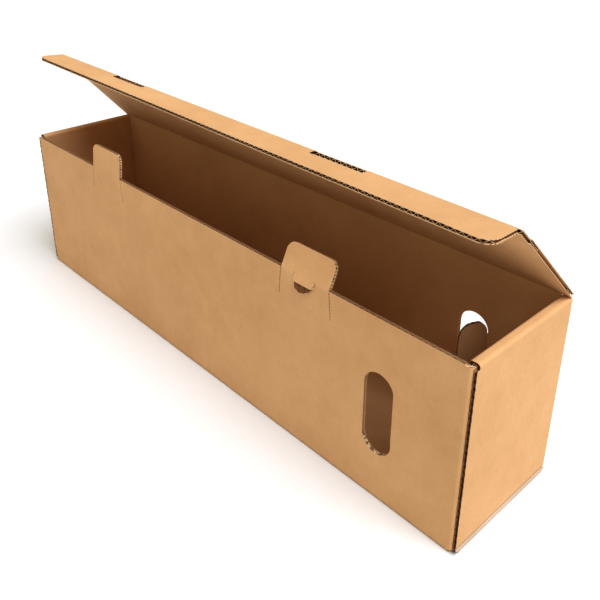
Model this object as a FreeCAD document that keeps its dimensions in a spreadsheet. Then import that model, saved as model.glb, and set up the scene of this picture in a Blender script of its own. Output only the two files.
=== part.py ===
import FreeCAD, Part
import os

# A long, narrow box folded from one sheet of corrugated board, with a lid that stands half open.
# Frame: X along the length, Y from the front wall (-Y) to the back wall (+Y), Z up.
# The origin is the middle of the underside of the base.

# Sizes in millimetres and degrees: (name, value, meaning)
SIZES = (
    ("length", "670", "outer length over the two end walls"),
    ("width", "134", "outer width over the front and back walls"),
    ("front_height", "180", "top edge of the front wall"),
    ("rim_height", "182", "top of the end walls and of the back wall"),
    ("board", "2.8", "thickness of the board"),
    ("ply_gap", "0.4", "air between boards that lie against each other"),
    ("crease_round", "1.8", "outer radius of a fold"),
    ("clearance", "0.4", "running gap at a hinge and along a cut edge"),
    ("end_inset", "0.5", "end panels stop this far short of the front and back faces"),
    ("corner_relief", "4", "square cut out of the sheet at each bottom corner"),
    ("corner_reach", "58", "length of the corner flaps between the end panels"),
    ("tongue_width", "20", "tongues that lock the inner end panels into the base"),
    ("tongue_place", "32", "tongue centres, from the middle of the end"),
    ("lid_angle", "46", "lid above the horizontal"),
    ("jog_depth", "3", "lid is this much narrower at its front corners"),
    ("jog_length", "14", "length of the narrower stretch"),
    ("tuck_fold", "43", "tuck flap folded down from the plane of the lid"),
    ("tuck_depth", "33", "tuck flap from its fold to its free edge"),
    ("tuck_inset", "4.5", "tuck flap is this much shorter than the lid at each end"),
    ("tuck_round", "12", "rounded free corners of the tuck flap"),
    ("slot_spare", "1.5", "slot beyond the tab at each end"),
    ("slot_depth", "8", "slot from the fold of the tuck flap"),
    ("slot_round", "3", "rounded inner corners of a slot"),
    ("tab_from_end", "172", "tab centres, from the outer face of the nearer end wall"),
    ("tab_width", "58", "width of a lock tab"),
    ("tab_height", "29", "lock tab from its crease to its top"),
    ("tab_round", "9", "rounded top corners of a tab"),
    ("left_lean", "6", "left tab leans inwards"),
    ("middle_lean", "25", "middle tab leans inwards"),
    ("slit_width", "0.6", "knife slits beside the tabs"),
    ("slit_depth", "28", "slits below the top edge of the front wall"),
    ("slit_splay", "5", "slits spread outwards towards their lower ends"),
    ("moon_radius", "11", "half-moon tongue under the middle tab"),
    ("hand_from_end", "85", "hand hole centres, from the outer face of the right end wall"),
    ("hand_level", "89", "hand hole centres above the underside"),
    ("hand_width", "31", "width of a hand hole"),
    ("hand_length", "81", "height of a hand hole, with its round ends"),
    ("front_hand_angle", "100", "front hand flap pushed inwards"),
    ("rear_hand_angle", "69", "rear hand flap pushed inwards"),
)

# Rotations that lay the Z axis of a primitive along X, Y or Z
ALONG = {
    "X": FreeCAD.Rotation(FreeCAD.Vector(0, 1, 0), 90),
    "Y": FreeCAD.Rotation(FreeCAD.Vector(1, 0, 0), -90),
    "Z": FreeCAD.Rotation(),
}
Z_AXIS = FreeCAD.Vector(0, 0, 1)
LEVEL_HINGE = FreeCAD.Vector(-1, 0, 0)
QUARTER = 90
HALF = 180
FULL = 360

# Places that several pieces share, as formulas of the sizes
HALF_LENGTH = "(sizes.length / 2)"
HALF_WIDTH = "(sizes.width / 2)"
WALL_END = f"({HALF_LENGTH} - sizes.board - sizes.ply_gap)"
INNER_PANEL_X = f"({HALF_LENGTH} - 3 * sizes.board - 2 * sizes.ply_gap)"
STRIP_UNDERSIDE = "(sizes.rim_height - sizes.board)"
CORNER_TOP = f"({STRIP_UNDERSIDE} - sizes.ply_gap)"
FLOOR_TOP = "(sizes.board + sizes.ply_gap)"
HINGE_GAP = "(sizes.board / 2 + sizes.clearance)"
LID_AXIS_Y = f"({HALF_WIDTH} - sizes.board / 2)"
LID_AXIS_Z = f"(sizes.rim_height + {HINGE_GAP})"
TUCK_AXIS_Y = f"({HALF_WIDTH} - 1.5 * sizes.board - sizes.clearance)"
LID_DEPTH = f"({LID_AXIS_Y} + {TUCK_AXIS_Y})"
TAB_AXIS_Z = "(sizes.front_height - sizes.board / 2)"
SLOT_WIDTH = "(sizes.tab_width + 2 * sizes.slot_spare)"
TAB_PLACE = f"({HALF_LENGTH} - sizes.tab_from_end)"
HAND_PLACE = f"({HALF_LENGTH} - sizes.hand_from_end)"
TONGUE_LEFT = "(sizes.tongue_place - sizes.tongue_width / 2)"
HAND_STRAIGHT = "(sizes.hand_length - sizes.hand_width)"

doc = FreeCAD.newDocument("cardboard_box")
sizes = doc.addObject("Spreadsheet::Sheet", "sizes")
for row, (alias, value, meaning) in enumerate(SIZES, start=1):
    sizes.set(f"A{row}", meaning)
    sizes.set(f"B{row}", value)
    sizes.setAlias(f"B{row}", alias)
doc.recompute()


def bind_base(item, place):
    """Bind the position of an object to three formulas."""
    for axis, formula in zip("xyz", place):
        item.setExpression(f"Placement.Base.{axis}", formula)


def add_box(name, start, size):
    """A box from its lowest corner and its three lengths, all formulas."""
    box = doc.addObject("Part::Box", name)
    for prop, formula in zip(("Length", "Width", "Height"), size):
        box.setExpression(prop, formula)
    bind_base(box, start)
    return box


def add_round(name, along, start, radius, length, sector=FULL, turn=0):
    """A cylinder, or a sector of one that begins turned by some degrees about its own axis."""
    cylinder = doc.addObject("Part::Cylinder", name)
    cylinder.setExpression("Radius", radius)
    cylinder.setExpression("Height", length)
    cylinder.Angle = sector
    rotation = ALONG[along].multiply(FreeCAD.Rotation(Z_AXIS, turn))
    cylinder.Placement = FreeCAD.Placement(FreeCAD.Vector(), rotation)
    bind_base(cylinder, start)
    return cylinder


def fuse(name, shapes):
    """Join shapes into one solid."""
    joined = doc.addObject("Part::MultiFuse", name)
    joined.Shapes = shapes
    joined.Refine = True
    return joined


def cut(name, base, tool):
    """Take one shape out of another."""
    result = doc.addObject("Part::Cut", name)
    result.Base = base
    result.Tool = tool
    result.Refine = True
    return result


def mirror(name, source, normal):
    """The mirror image of a shape in a plane through the origin."""
    image = doc.addObject("Part::Mirroring", name)
    image.Source = source
    image.Base = FreeCAD.Vector()
    image.Normal = normal
    return image


def mirror_x(source):
    """The same piece at the other end of the box."""
    return mirror(f"{source.Name}_left", source, FreeCAD.Vector(1, 0, 0))


def mirror_y(source):
    """The same piece on the other long wall."""
    return mirror(f"{source.Name}_back", source, FreeCAD.Vector(0, 1, 0))


# Tray: base and long walls

def long_wall(name, height):
    """A wall on the front face, with its bottom fold, standing between the two corner folds."""
    run = f"({WALL_END} - sizes.crease_round)"
    face = f"-{HALF_WIDTH}"
    fold_y = f"-{HALF_WIDTH} + sizes.crease_round"
    panel = add_box(
        f"{name}_panel",
        (f"-{run}", face, "sizes.crease_round"),
        (f"2 * {run}", "sizes.board", f"{height} - sizes.crease_round"),
    )
    fold = add_round(
        f"{name}_fold", "X", (f"-{run}", fold_y, "sizes.crease_round"),
        "sizes.crease_round", f"2 * {run}", QUARTER, -QUARTER,
    )
    # The top edge steps down under the strip of the end wall
    step_x = f"({INNER_PANEL_X} - sizes.clearance)"
    step = add_box(
        f"{name}_step",
        (step_x, f"{face} - sizes.board", CORNER_TOP),
        (f"{WALL_END} - {step_x}", "3 * sizes.board", height),
    )
    steps = fuse(f"{name}_steps", [step, mirror_x(step)])
    return fuse(name, [cut(f"{name}_stepped", panel, steps), fold])


def tongue_slot():
    """The slot in the base for one tongue of an inner end panel."""
    spare = "sizes.clearance"
    return add_box(
        "tongue_slot",
        (f"{INNER_PANEL_X} - {spare}", f"{TONGUE_LEFT} - {spare}", "-sizes.board"),
        (f"sizes.board + 2 * {spare}", f"sizes.tongue_width + 2 * {spare}", "3 * sizes.board"),
    )


def base_panel():
    """The base, narrower past the long walls, where the sheet has its corner cuts, and slotted."""
    run = f"({WALL_END} - sizes.crease_round)"
    middle = add_box(
        "base_middle",
        (f"-{run}", f"-{HALF_WIDTH} + sizes.crease_round", "0"),
        (f"2 * {run}", "sizes.width - 2 * sizes.crease_round", "sizes.board"),
    )
    reach = f"({HALF_LENGTH} - sizes.crease_round)"
    ends = add_box(
        "base_ends",
        (f"-{reach}", f"-{HALF_WIDTH} + sizes.corner_relief", "0"),
        (f"2 * {reach}", "sizes.width - 2 * sizes.corner_relief", "sizes.board"),
    )
    slot = tongue_slot()
    slot_back = mirror_y(slot)
    slots = fuse("tongue_slots", [slot, slot_back, mirror_x(slot), mirror_x(slot_back)])
    return cut("base", fuse("base_sheet", [middle, ends]), slots)


def corner_flap():
    """The flap of the front wall that lies between the end panels, with its upright fold."""
    height = f"{CORNER_TOP} - {FLOOR_TOP}"
    fold_x = f"{WALL_END} - sizes.crease_round"
    fold_y = f"-{HALF_WIDTH} + sizes.crease_round"
    panel = add_box(
        "corner_panel", (f"{WALL_END} - sizes.board", fold_y, FLOOR_TOP),
        ("sizes.board", "sizes.corner_reach", height),
    )
    fold = add_round(
        "corner_fold", "Z", (fold_x, fold_y, FLOOR_TOP),
        "sizes.crease_round", height, QUARTER, -QUARTER,
    )
    root = add_box(
        "corner_root", (f"{WALL_END} - sizes.board", f"-{HALF_WIDTH}", FLOOR_TOP),
        ("sizes.board - sizes.crease_round", "sizes.board", height),
    )
    return fuse("corner_flap", [panel, fold, root])


def end_wall():
    """The right end: outer panel, strip over the top and inner panel that hangs into the base."""
    half_span = f"({HALF_WIDTH} - sizes.end_inset)"
    span = f"2 * {half_span}"
    foot = f"({HALF_WIDTH} - sizes.corner_relief)"
    outer_x = f"{HALF_LENGTH} - sizes.board"
    round_x = f"{HALF_LENGTH} - sizes.crease_round"
    round_z = "sizes.rim_height - sizes.crease_round"
    inner_half = f"({HALF_WIDTH} - sizes.board - sizes.clearance)"
    outer = add_box(
        "outer_panel", (outer_x, f"-{half_span}", "sizes.corner_relief"),
        ("sizes.board", span, f"{round_z} - sizes.corner_relief"),
    )
    outer_foot = add_box(
        "outer_foot", (outer_x, f"-{foot}", "sizes.crease_round"),
        ("sizes.board", f"2 * {foot}", "sizes.corner_relief"),
    )
    bottom_fold = add_round(
        "end_bottom_fold", "Y", (round_x, f"-{foot}", "sizes.crease_round"),
        "sizes.crease_round", f"2 * {foot}", QUARTER,
    )
    strip = add_box(
        "strip", (f"{INNER_PANEL_X} + sizes.crease_round", f"-{half_span}", STRIP_UNDERSIDE),
        (f"{round_x} - {INNER_PANEL_X} - sizes.crease_round", span, "sizes.board"),
    )
    outer_fold = add_round(
        "strip_outer_fold", "Y", (round_x, f"-{half_span}", round_z),
        "sizes.crease_round", span, QUARTER, 3 * QUARTER,
    )
    strip_edge = add_box(
        "strip_edge", (INNER_PANEL_X, f"-{half_span}", STRIP_UNDERSIDE),
        ("sizes.board", span, "sizes.board - sizes.crease_round"),
    )
    inner_fold = add_round(
        "strip_inner_fold", "Y", (f"{INNER_PANEL_X} + sizes.crease_round", f"-{half_span}", round_z),
        "sizes.crease_round", span, QUARTER, 2 * QUARTER,
    )
    inner = add_box(
        "inner_panel", (INNER_PANEL_X, f"-{inner_half}", FLOOR_TOP),
        ("sizes.board", f"2 * {inner_half}", f"{STRIP_UNDERSIDE} - {FLOOR_TOP}"),
    )
    tongue = add_box(
        "tongue", (INNER_PANEL_X, TONGUE_LEFT, "sizes.ply_gap"),
        ("sizes.board", "sizes.tongue_width", "sizes.board"),
    )
    pieces = [outer, outer_foot, bottom_fold, strip, outer_fold, strip_edge, inner_fold, inner]
    return fuse("end_wall", pieces + [tongue, mirror_y(tongue)])


# Tray: cuts through the walls

def hand_shape(name, centre_x, start_y, depth, trim):
    """An upright slot shape with half-round ends, drawn in by a trim all round."""
    radius = f"(sizes.hand_width / 2 - {trim})"
    low = f"sizes.hand_level - {HAND_STRAIGHT} / 2"
    high = f"sizes.hand_level + {HAND_STRAIGHT} / 2"
    middle = add_box(
        f"{name}_middle", (f"{centre_x} - {radius}", start_y, low),
        (f"2 * {radius}", depth, HAND_STRAIGHT),
    )
    ends = [
        add_round(f"{name}_{label}", "Y", (centre_x, start_y, level), radius, depth)
        for label, level in (("low", low), ("high", high))
    ]
    return fuse(name, [middle] + ends)


def hand_hole(name, side):
    """A hand hole through the front (-1) or back (+1) wall."""
    start_y = f"{side} * ({HALF_WIDTH} - sizes.board / 2) - sizes.board"
    return hand_shape(name, HAND_PLACE, start_y, "2 * sizes.board", "0")


def tab_cuts(name, side):
    """Notch for the crease of a tab, and the two knife slits beside it."""
    middle = f"({side} * {TAB_PLACE})"
    half = "(sizes.tab_width / 2 + sizes.slit_width)"
    face = f"-{HALF_WIDTH} - sizes.board"
    depth = "3 * sizes.board"
    notch_z = f"({TAB_AXIS_Z} - {HINGE_GAP})"
    notch = add_box(
        f"{name}_notch", (f"{middle} - {half}", face, notch_z),
        (f"2 * {half}", depth, f"sizes.front_height - {notch_z} + sizes.board"),
    )
    cuts = [notch]
    for hand, label in ((-1, "left"), (1, "right")):
        # The slit hangs from its top corner and is turned outwards about it
        slit = doc.addObject("Part::Box", f"{name}_{label}_slit")
        slit.setExpression("Length", "sizes.slit_depth")
        slit.setExpression("Width", depth)
        slit.setExpression("Height", "sizes.slit_width")
        down = FreeCAD.Rotation(FreeCAD.Vector(0, 1, 0), QUARTER)
        slit.Placement = FreeCAD.Placement(FreeCAD.Vector(), down)
        edge = f"{middle} + {hand} * sizes.tab_width / 2"
        if hand < 0:
            edge = f"{edge} - sizes.slit_width"
        bind_base(slit, (edge, face, "sizes.front_height"))
        slit.setExpression("Placement.Rotation.Angle", f"90 - {hand} * sizes.slit_splay")
        cuts.append(slit)
    return fuse(name, cuts)


def moon_cut():
    """The half-moon cut out of the front wall under the middle tab."""
    return add_round(
        "moon_cut", "Y", (TAB_PLACE, f"-{HALF_WIDTH} - sizes.board", TAB_AXIS_Z),
        "sizes.moon_radius + sizes.clearance", "3 * sizes.board",
    )


def build_tray():
    """Base, long walls and double end walls of the one folded sheet."""
    front = long_wall("front_wall", "sizes.front_height")
    back = mirror_y(long_wall("high_wall", "sizes.rim_height"))
    corner_front = corner_flap()
    corner_back = mirror_y(corner_front)
    right = end_wall()
    pieces = [base_panel(), front, back, corner_front, corner_back, right]
    pieces += [mirror_x(piece) for piece in (corner_front, corner_back, right)]
    tools = [hand_hole("front_hole", -1), hand_hole("rear_hole", 1)]
    tools += [tab_cuts("left_cuts", -1), tab_cuts("middle_cuts", 1), moon_cut()]
    return cut("tray", fuse("folded_sheet", pieces), fuse("wall_cuts", tools))


# Moving flaps, each drawn with its hinge axis on the X axis and its panel flat

def hinge_roll(name, half):
    """The rounded hinge edge of a flap, from -half to half."""
    return add_round(name, "X", (f"-{half}", "0", "0"), "sizes.board / 2", f"2 * {half}")


def set_hinged(node, place, angle, axis=LEVEL_HINGE):
    """Put a flap on its hinge and turn it there by a formula of the angle."""
    node.Placement = FreeCAD.Placement(FreeCAD.Vector(), FreeCAD.Rotation(axis, 1))
    bind_base(node, place)
    node.setExpression("Placement.Rotation.Angle", angle)


def build_lid():
    """The lid, flat from its hinge to just short of the fold of the tuck flap."""
    low = "-sizes.board / 2"
    front_y = f"-({LID_DEPTH} - {HINGE_GAP})"
    panel = add_box(
        "lid_panel", (f"-{HALF_LENGTH}", front_y, low),
        ("sizes.length", f"-({front_y})", "sizes.board"),
    )
    jog = add_box(
        "lid_jog", (f"{HALF_LENGTH} - sizes.jog_depth", f"{front_y} - sizes.board", "-sizes.board"),
        ("2 * sizes.jog_depth", "sizes.jog_length + sizes.board", "2 * sizes.board"),
    )
    jogs = fuse("lid_jogs", [jog, mirror_x(jog)])
    lid = cut("lid", fuse("lid_sheet", [panel, hinge_roll("lid_roll", HALF_LENGTH)]), jogs)
    set_hinged(lid, ("0", LID_AXIS_Y, LID_AXIS_Z), "sizes.lid_angle")
    return lid


def tuck_slot(name, side):
    """A slot that starts at the fold of the tuck flap, for one lock tab."""
    middle = f"({side} * {TAB_PLACE})"
    half = f"({SLOT_WIDTH} / 2)"
    below = "-sizes.board"
    tall = "2 * sizes.board"
    shallow = add_box(
        f"{name}_mouth", (f"{middle} - {half}", "-(sizes.slot_depth - sizes.slot_round)", below),
        (SLOT_WIDTH, "sizes.slot_depth - sizes.slot_round + sizes.board", tall),
    )
    deep = add_box(
        f"{name}_floor", (f"{middle} - {half} + sizes.slot_round", "-sizes.slot_depth", below),
        (f"{SLOT_WIDTH} - 2 * sizes.slot_round", "sizes.slot_depth", tall),
    )
    rounds = [
        add_round(
            f"{name}_{label}", "Z",
            (
                f"{middle} + {hand} * ({half} - sizes.slot_round)",
                "-(sizes.slot_depth - sizes.slot_round)",
                below,
            ),
            "sizes.slot_round", tall,
        )
        for hand, label in ((-1, "left"), (1, "right"))
    ]
    return fuse(name, [shallow, deep] + rounds)


def rounded_panel(name, half, reach, corner):
    """A flat flap of some half width and reach along -Y, with two rounded free corners."""
    low = "-sizes.board / 2"
    wide = add_box(
        f"{name}_wide", (f"-{half}", f"-({reach} - {corner})", low),
        (f"2 * {half}", f"{reach} - {corner}", "sizes.board"),
    )
    deep = add_box(
        f"{name}_deep", (f"-({half} - {corner})", f"-{reach}", low),
        (f"2 * ({half} - {corner})", reach, "sizes.board"),
    )
    rounds = [
        add_round(
            f"{name}_{label}", "Z", (f"{hand} * ({half} - {corner})", f"-({reach} - {corner})", low),
            corner, "sizes.board",
        )
        for hand, label in ((-1, "left"), (1, "right"))
    ]
    return [wide, deep] + rounds + [hinge_roll(f"{name}_roll", half)]


def build_tuck_flap():
    """The flap along the front edge of the lid, with a slot for each tab."""
    half = f"({HALF_LENGTH} - sizes.tuck_inset)"
    panels = rounded_panel("tuck", half, "sizes.tuck_depth", "sizes.tuck_round")
    slots = fuse("tuck_slots", [tuck_slot("left_slot", -1), tuck_slot("middle_slot", 1)])
    flap = cut("tuck_flap", fuse("tuck_sheet", panels), slots)
    place = (
        "0",
        f"{LID_AXIS_Y} - {LID_DEPTH} * cos(sizes.lid_angle)",
        f"{LID_AXIS_Z} + {LID_DEPTH} * sin(sizes.lid_angle)",
    )
    set_hinged(flap, place, "sizes.lid_angle - sizes.tuck_fold")
    return flap


def build_tab(name, side, lean, extra):
    """A lock tab on the top edge of the front wall, leaning inwards."""
    panels = rounded_panel(f"{name}_tab", "(sizes.tab_width / 2)", "sizes.tab_height", "sizes.tab_round")
    tab = fuse(f"{name}_tab", panels + extra)
    place = (f"{side} * {TAB_PLACE}", f"-({HALF_WIDTH} - sizes.board / 2)", TAB_AXIS_Z)
    set_hinged(tab, place, f"90 + {lean}")
    return tab


def half_moon():
    """The half-round tongue that carries on past the crease of the middle tab."""
    return add_round(
        "half_moon", "Z", ("0", "0", "-sizes.board / 2"),
        "sizes.moon_radius", "sizes.board", HALF,
    )


def build_hand_flap(name, side, angle):
    """The piece pushed in out of a hand hole, still held along the straight right side.

    It turns about an upright line just inside the wall's inner face.
    """
    radius = "(sizes.hand_width / 2 - sizes.clearance)"
    start_y = "sizes.clearance" if side > 0 else "-(sizes.clearance + sizes.board)"
    flap = hand_shape(name, f"-{radius}", start_y, "sizes.board", "sizes.clearance")
    place = (
        f"{HAND_PLACE} + {radius}",
        f"{side} * ({HALF_WIDTH} - sizes.board - sizes.clearance)",
        "0",
    )
    set_hinged(flap, place, angle, FreeCAD.Vector(0, 0, side))
    return flap


def check_and_export(nodes):
    """Stop at a failed object or a bad solid, then write one file for each node."""
    for item in doc.Objects:
        if "Invalid" in item.State or "Error" in item.State:
            raise RuntimeError(f"{item.Name} failed: {item.State}")
    for node in nodes:
        shape = node.Shape
        if shape.isNull() or not shape.isValid() or len(shape.Solids) != 1:
            raise RuntimeError(f"{node.Label} is not one valid solid")
    os.makedirs("parts", exist_ok=True)
    for node in nodes:
        box = node.Shape.BoundBox
        node.Shape.exportStep(f"parts/{node.Label}.step")
        print(f"{node.Label}: {node.Shape.Volume / 1000:.1f} cm3, {len(node.Shape.Faces)} faces,")
        print(f"    {box.XLength:.1f} x {box.YLength:.1f} x {box.ZLength:.1f} mm")


NODES = [
    build_tray(),
    build_lid(),
    build_tuck_flap(),
    build_tab("left", -1, "sizes.left_lean", []),
    build_tab("middle", 1, "sizes.middle_lean", [half_moon()]),
    build_hand_flap("front_hand_flap", -1, "sizes.front_hand_angle"),
    build_hand_flap("rear_hand_flap", 1, "sizes.rear_hand_angle"),
]
doc.recompute()
check_and_export(NODES)
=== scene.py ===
"""A long, narrow box folded from one sheet of corrugated board, with its lid half open."""

import logging
import math
from collections.abc import Callable
from dataclasses import dataclass, field
from enum import Enum

import bmesh
import bpy
import numpy as np
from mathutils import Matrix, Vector


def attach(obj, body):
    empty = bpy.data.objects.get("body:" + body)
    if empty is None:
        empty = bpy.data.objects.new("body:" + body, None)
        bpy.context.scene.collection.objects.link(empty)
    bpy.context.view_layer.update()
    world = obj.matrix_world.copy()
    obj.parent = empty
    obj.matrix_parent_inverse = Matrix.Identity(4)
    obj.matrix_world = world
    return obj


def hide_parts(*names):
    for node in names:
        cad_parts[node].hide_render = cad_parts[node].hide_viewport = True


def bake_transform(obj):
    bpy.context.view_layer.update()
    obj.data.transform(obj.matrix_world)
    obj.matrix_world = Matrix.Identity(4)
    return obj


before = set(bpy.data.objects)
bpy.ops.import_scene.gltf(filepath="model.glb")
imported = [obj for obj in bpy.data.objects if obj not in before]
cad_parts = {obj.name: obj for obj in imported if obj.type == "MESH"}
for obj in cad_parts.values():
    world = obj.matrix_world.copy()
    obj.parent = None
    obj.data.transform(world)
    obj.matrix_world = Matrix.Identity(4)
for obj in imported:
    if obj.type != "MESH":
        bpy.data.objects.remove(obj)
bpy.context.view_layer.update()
LOG = logging.getLogger("cardboard_box")

# Sizes in millimetres: board, one liner, flute pitch, fluting paper, middle layer of a fold, rule teeth
MM = 0.001
BOARD = 2.8
LINER = 0.5
PITCH = 6.4
WEB = 0.42
FOLD = 1.6
TOOTH = 2.9

# Width of the photograph in pixels and of the camera's sensor in millimetres
PICTURE = 600.0
SENSOR = 36.0

Place = Callable[[np.ndarray, np.ndarray, np.ndarray], np.ndarray]
Shape = Callable[[np.ndarray], np.ndarray]


class Face(Enum):
    """The kinds of surface that the board shows; the fluting kind also serves as painted shade in a groove,
    and the last kind is a painted reflection of floor light in shade.
    """

    LINER = 0
    CUT = 1
    # Fluting paper; also painted shade in the end walls' groove.
    FLUTING_AND_SHADE = 2
    # Pale greyish tone painted on the end walls' foot bulge: shade with reflected floor light.
    CREASE = 3


class Side(Enum):
    """Front or back of the box, as the sign of its Y."""

    FRONT = -1
    BACK = 1


def linear(red: float, green: float, blue: float) -> tuple[float, float, float, float]:
    """A screen colour of 0 to 255 as the linear colour that a shader takes."""
    parts = np.array([red, green, blue]) / 255.0
    low = parts / 12.92
    high = ((parts + 0.055) / 1.055) ** 2.4
    return (*(float(x) for x in np.where(parts <= 0.04045, low, high)), 1.0)


@dataclass(frozen=True)
class BoardFinish:
    """Paper of the board: blotches, fibres, specks and the faint ribs of the fluting below.

    Attributes:
        name: name of the material.
        light: lighter paper tone.
        dark: darker paper tone.
        fibre: how strongly the fine fibres show.
        ribs: how strongly the fluting shows through.
        roughness: roughness of the paper.
        nicks: how dark the marks of the cutting rule are along the edge.
        specks: how dark the specks in the paper are.
        shares: weight of blotches, clouds and fibres in the tone.
        contrast: half of the range of tone that runs from dark to light.
    """

    name: str
    light: tuple[float, float, float]
    dark: tuple[float, float, float]
    fibre: float = 0.5
    ribs: float = 0.5
    roughness: float = 0.78
    nicks: float = 0.0
    specks: float = 0.14
    shares: tuple[float, float, float] = (0.9, 0.5, 0.55)
    contrast: float = 0.34

    def build(self) -> bpy.types.Material:
        """Make the node material.

        Returns:
            The material, which reads Object coordinates and the board's own UV map.
        """
        material = bpy.data.materials.new(self.name)
        material.use_nodes = True
        tree = material.node_tree
        tree.nodes.clear()
        output = tree.nodes.new("ShaderNodeOutputMaterial")
        shader = tree.nodes.new("ShaderNodeBsdfPrincipled")
        shader.inputs["Roughness"].default_value = self.roughness
        shader.inputs["Specular IOR Level"].default_value = 0.22
        tree.links.new(shader.outputs["BSDF"], output.inputs["Surface"])
        place = tree.nodes.new("ShaderNodeTexCoord").outputs["Object"]
        blotch = self._noise(tree, place, (1.0, 1.0, 1.0), 11.0, 4.0)
        cloud = self._noise(tree, place, (1.0, 1.0, 1.0), 55.0, 5.0)
        along = self._noise(tree, place, (1.0, 0.35, 0.35), 900.0, 3.0)
        upright = self._noise(tree, place, (0.3, 1.0, 0.25), 620.0, 3.0)
        speck = self._noise(tree, place, (1.0, 1.0, 1.0), 420.0, 2.0)
        fibres = self._math(tree, "ADD", along, upright)
        blotches, clouds, hairs = self.shares
        total = self._math(tree, "MULTIPLY", blotch, blotches)
        total = self._math(tree, "MULTIPLY_ADD", cloud, clouds, total)
        total = self._math(tree, "MULTIPLY_ADD", fibres, hairs * self.fibre, total)
        spread = tree.nodes.new("ShaderNodeMapRange")
        middle = 0.5 * blotches + 0.5 * clouds + hairs * self.fibre
        spread.inputs["From Min"].default_value = middle - self.contrast
        spread.inputs["From Max"].default_value = middle + self.contrast
        tree.links.new(total, spread.inputs["Value"])
        tone = tree.nodes.new("ShaderNodeValToRGB")
        tone.color_ramp.elements[0].color = linear(*self.dark)
        tone.color_ramp.elements[1].color = linear(*self.light)
        tree.links.new(spread.outputs["Result"], tone.inputs["Fac"])
        dots = tree.nodes.new("ShaderNodeMapRange")
        dots.inputs["From Min"].default_value = 0.67
        dots.inputs["From Max"].default_value = 0.74
        dots.inputs["To Max"].default_value = self.specks
        tree.links.new(speck, dots.inputs["Value"])
        mix = tree.nodes.new("ShaderNodeMix")
        mix.data_type = "RGBA"
        mix.blend_type = "MULTIPLY"
        mix.inputs[7].default_value = linear(*(0.55 * x for x in self.dark))
        tree.links.new(dots.outputs["Result"], mix.inputs["Factor"])
        tree.links.new(tone.outputs["Color"], mix.inputs[6])
        sheet = tree.nodes.new("ShaderNodeUVMap")
        sheet.uv_map = "board"
        split = tree.nodes.new("ShaderNodeSeparateXYZ")
        tree.links.new(sheet.outputs["UV"], split.inputs["Vector"])
        colour = mix.outputs[2]
        if self.nicks:
            colour = self._nicked(tree, split.outputs["Y"], colour)
        tree.links.new(colour, shader.inputs["Base Color"])
        turn = self._math(tree, "MULTIPLY", split.outputs["X"], 2.0 * math.pi / (PITCH * MM))
        rib = self._math(tree, "COSINE", turn, 0.0)
        height = self._math(tree, "MULTIPLY", rib, 0.22 * self.ribs)
        height = self._math(tree, "MULTIPLY_ADD", fibres, 0.45 * self.fibre, height)
        bump = tree.nodes.new("ShaderNodeBump")
        bump.inputs["Strength"].default_value = 0.35
        bump.inputs["Distance"].default_value = 0.00035
        tree.links.new(height, bump.inputs["Height"])
        tree.links.new(bump.outputs["Normal"], shader.inputs["Normal"])
        return material

    def _nicked(self, tree: bpy.types.NodeTree, along: bpy.types.NodeSocket,
                colour: bpy.types.NodeSocket) -> bpy.types.NodeSocket:
        """Darken a colour at every tooth of the cutting rule, along the flutes."""
        turn = self._math(tree, "MULTIPLY", along, 2.0 * math.pi / (TOOTH * MM))
        tooth = tree.nodes.new("ShaderNodeMapRange")
        tooth.inputs["From Min"].default_value = 0.1
        tooth.inputs["From Max"].default_value = 0.7
        tooth.inputs["To Max"].default_value = self.nicks
        tree.links.new(self._math(tree, "COSINE", turn, 0.0), tooth.inputs["Value"])
        mix = tree.nodes.new("ShaderNodeMix")
        mix.data_type = "RGBA"
        mix.inputs[7].default_value = linear(96, 60, 32)
        tree.links.new(tooth.outputs["Result"], mix.inputs["Factor"])
        tree.links.new(colour, mix.inputs[6])
        return mix.outputs[2]

    def _noise(self, tree: bpy.types.NodeTree, place: bpy.types.NodeSocket,
               stretch: tuple[float, float, float], scale: float,
               detail: float) -> bpy.types.NodeSocket:
        """A noise of some scale, drawn out along the axes that have a small stretch."""
        mapping = tree.nodes.new("ShaderNodeMapping")
        mapping.inputs["Scale"].default_value = stretch
        tree.links.new(place, mapping.inputs["Vector"])
        noise = tree.nodes.new("ShaderNodeTexNoise")
        noise.inputs["Scale"].default_value = scale
        noise.inputs["Detail"].default_value = detail
        tree.links.new(mapping.outputs["Vector"], noise.inputs["Vector"])
        return noise.outputs["Fac"]

    def _math(self, tree: bpy.types.NodeTree, operation: str, first: bpy.types.NodeSocket,
              second: bpy.types.NodeSocket | float,
              third: bpy.types.NodeSocket | float = 0.0) -> bpy.types.NodeSocket:
        """One operation on up to three values."""
        node = tree.nodes.new("ShaderNodeMath")
        node.operation = operation
        for socket, value in zip(node.inputs, (first, second, third)):
            if isinstance(value, float):
                socket.default_value = value
            else:
                tree.links.new(value, socket)
        return node.outputs["Value"]


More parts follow.
